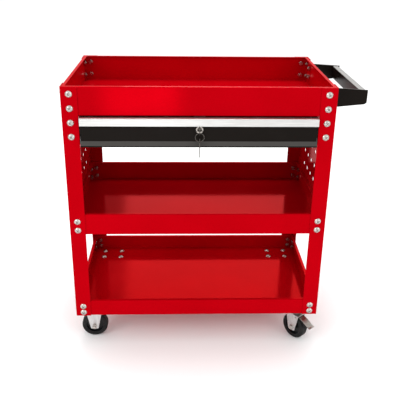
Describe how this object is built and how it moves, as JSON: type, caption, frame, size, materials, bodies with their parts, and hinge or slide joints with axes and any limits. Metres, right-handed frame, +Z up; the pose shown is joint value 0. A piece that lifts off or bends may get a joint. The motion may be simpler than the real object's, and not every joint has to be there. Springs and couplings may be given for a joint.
{
  "type": "tool cart",
  "caption": "Wheeled sheet-steel tool cart with open trays, a lockable sliding drawer, perforated side panels, a side push handle and swivel casters with foot brakes.",
  "frame": {"origin": "on the floor under the middle of the whole cart, handle, key and bolt heads counted in", "axes": "+X to the right towards the push handle, +Y to the back (the drawer opens towards -Y), +Z up"},
  "size_m": [0.8397, 0.4447, 0.823],
  "materials": {
    "red_paint": "gloss powder coat",
    "rail_paint": "satin",
    "ball_steel": "polished",
    "slide_zinc": "zinc plated",
    "drawer_paint": "satin",
    "pull_aluminium": "satin anodised",
    "lock_nickel": "nickel plated",
    "lock_zinc": "zinc plated",
    "bolt_zinc": "bright zinc",
    "handle_paint": "satin",
    "caster_zinc": "zinc plated",
    "axle_zinc": "bright zinc",
    "wheel_plastic": "black moulding",
    "tyre_rubber": "matt",
    "pedal_zinc": "zinc plated",
    "shoe_plastic": "matt"
  },
  "bodies": {
    "cart": {"bottom_tray": "red_paint", "caster_plate_front_left": "caster_zinc", "caster_plate_front_right": "caster_zinc", "caster_plate_rear_left": "caster_zinc", "caster_plate_rear_right": "caster_zinc", "drawer_rail_left": "rail_paint", "drawer_rail_right": "rail_paint", "frame_bolts": "bolt_zinc", "frame_nuts": "bolt_zinc", "handle_bar": "handle_paint", "handle_bracket_front": "handle_paint", "handle_bracket_rear": "handle_paint", "leg_front_left": "red_paint", "leg_front_right": "red_paint", "leg_rear_left": "red_paint", "leg_rear_right": "red_paint", "lock_catch": "lock_zinc", "middle_tray": "red_paint", "side_panel_left": "red_paint", "side_panel_right": "red_paint", "slide_outer_left": "slide_zinc", "slide_outer_right": "slide_zinc", "swivel_balls": "ball_steel", "top_tray": "red_paint"},
    "drawer": {"drawer_box": "drawer_paint", "drawer_front": "drawer_paint", "drawer_pull": "pull_aluminium", "lock_housing": "lock_nickel", "lock_nut": "lock_zinc", "slide_inner_left": "slide_zinc", "slide_inner_right": "slide_zinc"},
    "slide_carriage": {"slide_middle_left": "slide_zinc", "slide_middle_right": "slide_zinc", "slide_balls": "ball_steel"},
    "lock_core": {"lock_plug": "lock_nickel", "lock_cam": "lock_zinc", "key": "lock_nickel"},
    "ring": {"key_ring": "lock_nickel"},
    "spare": {"spare_key": "lock_nickel"},
    "fork_front_left": {"caster_fork_front_left": "caster_zinc", "caster_axle_front_left": "axle_zinc"},
    "wheel_front_left": {"caster_wheel_front_left": "wheel_plastic", "caster_tyre_front_left": "tyre_rubber"},
    "fork_front_right": {"caster_fork_front_right": "caster_zinc", "caster_axle_front_right": "axle_zinc"},
    "wheel_front_right": {"caster_wheel_front_right": "wheel_plastic", "caster_tyre_front_right": "tyre_rubber"},
    "pedal_front_right": {"brake_pedal_front_right": "pedal_zinc", "brake_shoe_front_right": "shoe_plastic"},
    "fork_rear_left": {"caster_fork_rear_left": "caster_zinc", "caster_axle_rear_left": "axle_zinc"},
    "wheel_rear_left": {"caster_wheel_rear_left": "wheel_plastic", "caster_tyre_rear_left": "tyre_rubber"},
    "fork_rear_right": {"caster_fork_rear_right": "caster_zinc", "caster_axle_rear_right": "axle_zinc"},
    "wheel_rear_right": {"caster_wheel_rear_right": "wheel_plastic", "caster_tyre_rear_right": "tyre_rubber"},
    "pedal_rear_right": {"brake_pedal_rear_right": "pedal_zinc", "brake_shoe_rear_right": "shoe_plastic"}
  },
  "joints": [
    {"name": "drawer_slide", "type": "slide", "parent": "cart", "child": "drawer", "axis": [0, -1, 0], "range_m": [0, 0.32]},
    {"name": "carriage_slide", "type": "slide", "parent": "cart", "child": "slide_carriage", "axis": [0, -1, 0], "range_m": [0, 0.16]},
    {"name": "lock_turn", "type": "hinge", "parent": "drawer", "child": "lock_core", "pos_m": [-0.0451, -0.19245, 0.707], "axis": [0, -1, 0], "range_deg": [0, 90]},
    {"name": "ring_swing", "type": "hinge", "parent": "lock_core", "child": "ring", "pos_m": [-0.0451, -0.21285, 0.703], "axis": [1, 0, 0], "range_deg": [-70, 1]},
    {"name": "spare_key_swing", "type": "hinge", "parent": "ring", "child": "spare", "pos_m": [-0.0451, -0.21285, 0.677], "axis": [1, 0, 0], "range_deg": [-60, 1.5]},
    {"name": "swivel_front_left", "type": "hinge", "parent": "cart", "child": "fork_front_left", "pos_m": [-0.3431, -0.14245, 0.093], "axis": [0, 0, 1], "continuous": true},
    {"name": "roll_front_left", "type": "hinge", "parent": "fork_front_left", "child": "wheel_front_left", "pos_m": [-0.3671, -0.14245, 0.04], "axis": [0, -1, 0], "continuous": true},
    {"name": "swivel_front_right", "type": "hinge", "parent": "cart", "child": "fork_front_right", "pos_m": [0.2529, -0.14245, 0.093], "axis": [0, 0, 1], "continuous": true},
    {"name": "roll_front_right", "type": "hinge", "parent": "fork_front_right", "child": "wheel_front_right", "pos_m": [0.26833, -0.16084, 0.04], "axis": [0.766, 0.6428, 0], "continuous": true},
    {"name": "brake_front_right", "type": "hinge", "parent": "fork_front_right", "child": "pedal_front_right", "pos_m": [0.27733, -0.17156, 0.0828], "axis": [0.766, 0.6428, 0], "range_deg": [0, 10]},
    {"name": "swivel_rear_left", "type": "hinge", "parent": "cart", "child": "fork_rear_left", "pos_m": [-0.3431, 0.16755, 0.093], "axis": [0, 0, 1], "continuous": true},
    {"name": "roll_rear_left", "type": "hinge", "parent": "fork_rear_left", "child": "wheel_rear_left", "pos_m": [-0.36565, 0.17576, 0.04], "axis": [-0.342, -0.9397, 0], "continuous": true},
    {"name": "swivel_rear_right", "type": "hinge", "parent": "cart", "child": "fork_rear_right", "pos_m": [0.2529, 0.16755, 0.093], "axis": [0, 0, 1], "continuous": true},
    {"name": "roll_rear_right", "type": "hinge", "parent": "fork_rear_right", "child": "wheel_rear_right", "pos_m": [0.27465, 0.17769, 0.04], "axis": [-0.4226, 0.9063, 0], "continuous": true},
    {"name": "brake_rear_right", "type": "hinge", "parent": "fork_rear_right", "child": "pedal_rear_right", "pos_m": [0.28734, 0.18361, 0.0828], "axis": [-0.4226, 0.9063, 0], "range_deg": [0, 10]}
  ],
  "couplings": [
    {"joint": "carriage_slide", "follows": "drawer_slide", "ratio": 0.5}
  ]
}
